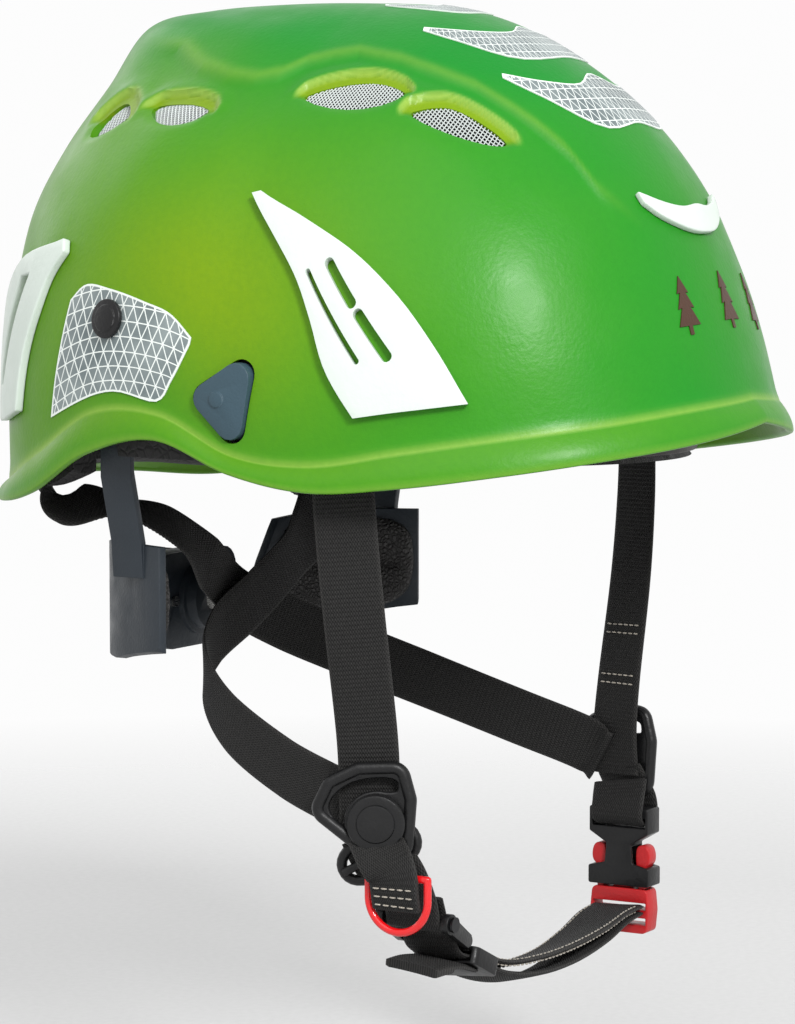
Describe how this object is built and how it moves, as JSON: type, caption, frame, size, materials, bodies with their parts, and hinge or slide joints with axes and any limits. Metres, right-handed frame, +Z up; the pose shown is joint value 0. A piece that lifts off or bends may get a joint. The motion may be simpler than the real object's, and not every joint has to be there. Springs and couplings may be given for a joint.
{
  "type": "forestry helmet",
  "caption": "Vented forestry and climbing helmet with foam liner, ratchet nape adjuster, webbing harness, visor socket plugs and a side-release chin buckle.",
  "frame": {"origin": "middle of the head opening, level with the lowest point of the side rim", "axes": "+Z up through the crown; -Y forwards; +X to the wearer's left"},
  "size_m": [0.22, 0.281, 0.3337],
  "materials": {
    "shell_green": "satin gloss moulded shell, emerald at the crown and lime at the sides",
    "liner_black": "fine-beaded foam",
    "mesh_white": "woven insect mesh",
    "clip_white": "translucent white nylon",
    "reflector_silver": "retroreflective film with a fine triangle grid",
    "emblem_brown": "printed film",
    "badge_black": "moulded badge",
    "plug_slate": "fine moulded texture",
    "frame_plastic": "moulded plastic",
    "pad_fabric": "knitted pad cover",
    "steel": "plated steel",
    "webbing_black": "ribbed polyester webbing",
    "buckle_black": "satin moulded acetal",
    "buckle_red": "satin moulded acetal",
    "ring_red": "glossy moulded ring",
    "nape_grey": "moulded nylon",
    "pad_leather": "grained synthetic leather",
    "knob_black": "soft-touch grip",
    "gear_white": "moulded acetal gear"
  },
  "bodies": {
    "root": {"outer_shell": "shell_green", "foam_liner": "liner_black", "vent_mesh_right": "mesh_white", "vent_mesh_left": "mesh_white", "front_lamp_clip_right": "clip_white", "front_lamp_clip_left": "clip_white", "rear_lamp_clip_right": "clip_white", "rear_lamp_clip_left": "clip_white", "front_goggle_clip": "clip_white", "side_reflector_right": "reflector_silver", "side_reflector_left": "reflector_silver", "crown_reflectors": "reflector_silver", "front_emblem": "emblem_brown", "side_badge_right": "badge_black", "side_badge_left": "badge_black", "headband": "frame_plastic", "brow_pad": "pad_fabric", "crown_pad": "pad_fabric", "hanger_retainer_right": "frame_plastic", "hanger_retainer_left": "frame_plastic", "hanger_pin_right": "steel", "hanger_pin_left": "steel", "strap_anchors_front": "buckle_black", "strap_anchors_rear": "buckle_black", "front_strap_right": "webbing_black", "front_strap_left": "webbing_black", "rear_strap_right": "webbing_black", "rear_strap_left": "webbing_black", "divider_right": "buckle_black", "divider_cap_right": "buckle_black", "divider_left": "buckle_black", "divider_cap_left": "buckle_black", "link_webbing_right": "webbing_black", "link_webbing_left": "webbing_black", "link_bar_right": "steel", "buckle_socket": "buckle_black"},
    "plug_right": {"visor_plug_right": "plug_slate"},
    "plug_left": {"visor_plug_left": "plug_slate"},
    "nape": {"nape_housing": "nape_grey", "nape_cover": "nape_grey", "nape_screws": "steel", "knob_axle": "steel", "click_spring": "steel", "click_ring": "nape_grey"},
    "arm_right": {"nape_arm_right": "nape_grey", "nape_pad_right": "pad_leather"},
    "arm_left": {"nape_arm_left": "nape_grey", "nape_pad_left": "pad_leather"},
    "knob": {"nape_knob": "knob_black", "nape_pinion": "gear_white"},
    "chin": {"chin_webbing": "webbing_black", "chin_slider": "buckle_black", "chin_link": "buckle_black", "buckle_plug": "buckle_red"},
    "prong_front": {"buckle_prong_front": "buckle_red"},
    "prong_rear": {"buckle_prong_rear": "buckle_red"},
    "ring": {"carry_ring": "ring_red"}
  },
  "joints": [
    {"name": "plug_right_pull", "type": "slide", "parent": "root", "child": "plug_right", "axis": [-1, 0, 0], "range_m": [0, 0.014]},
    {"name": "plug_left_pull", "type": "slide", "parent": "root", "child": "plug_left", "axis": [1, 0, 0], "range_m": [0, 0.014]},
    {"name": "nape_tilt", "type": "hinge", "parent": "root", "child": "nape", "pos_m": [0, 0.055, 0.022], "axis": [1, 0, 0], "range_deg": [-2, 12]},
    {"name": "knob_turn", "type": "hinge", "parent": "nape", "child": "knob", "pos_m": [0, 0.1, -0.05], "axis": [0, 1, 0], "range_deg": [-14, 73]},
    {"name": "arm_right_slide", "type": "slide", "parent": "nape", "child": "arm_right", "axis": [1, 0, 0], "range_m": [-0.0018, 0.009]},
    {"name": "arm_left_slide", "type": "slide", "parent": "nape", "child": "arm_left", "axis": [-1, 0, 0], "range_m": [-0.0018, 0.009]},
    {"name": "chin_swing", "type": "hinge", "parent": "root", "child": "chin", "pos_m": [-0.071, -0.048, -0.142], "axis": [0, 1, 0], "range_deg": [0, 35]},
    {"name": "prong_front_squeeze", "type": "hinge", "parent": "chin", "child": "prong_front", "pos_m": [0.075, -0.0587, -0.1555], "axis": [-1, 0, 0], "range_deg": [0, 5], "stiffness_Nm_per_rad": 0.05},
    {"name": "prong_rear_squeeze", "type": "hinge", "parent": "chin", "child": "prong_rear", "pos_m": [0.075, -0.0423, -0.1555], "axis": [1, 0, 0], "range_deg": [0, 5], "stiffness_Nm_per_rad": 0.05},
    {"name": "ring_swing", "type": "hinge", "parent": "root", "child": "ring", "pos_m": [-0.082, -0.0475, -0.126], "axis": [0, 1, 0], "range_deg": [0, 70]}
  ],
  "couplings": [
    {"joint": "arm_right_slide", "follows": "knob_turn", "m_per_rad": 0.007},
    {"joint": "arm_left_slide", "follows": "knob_turn", "m_per_rad": 0.007}
  ]
}
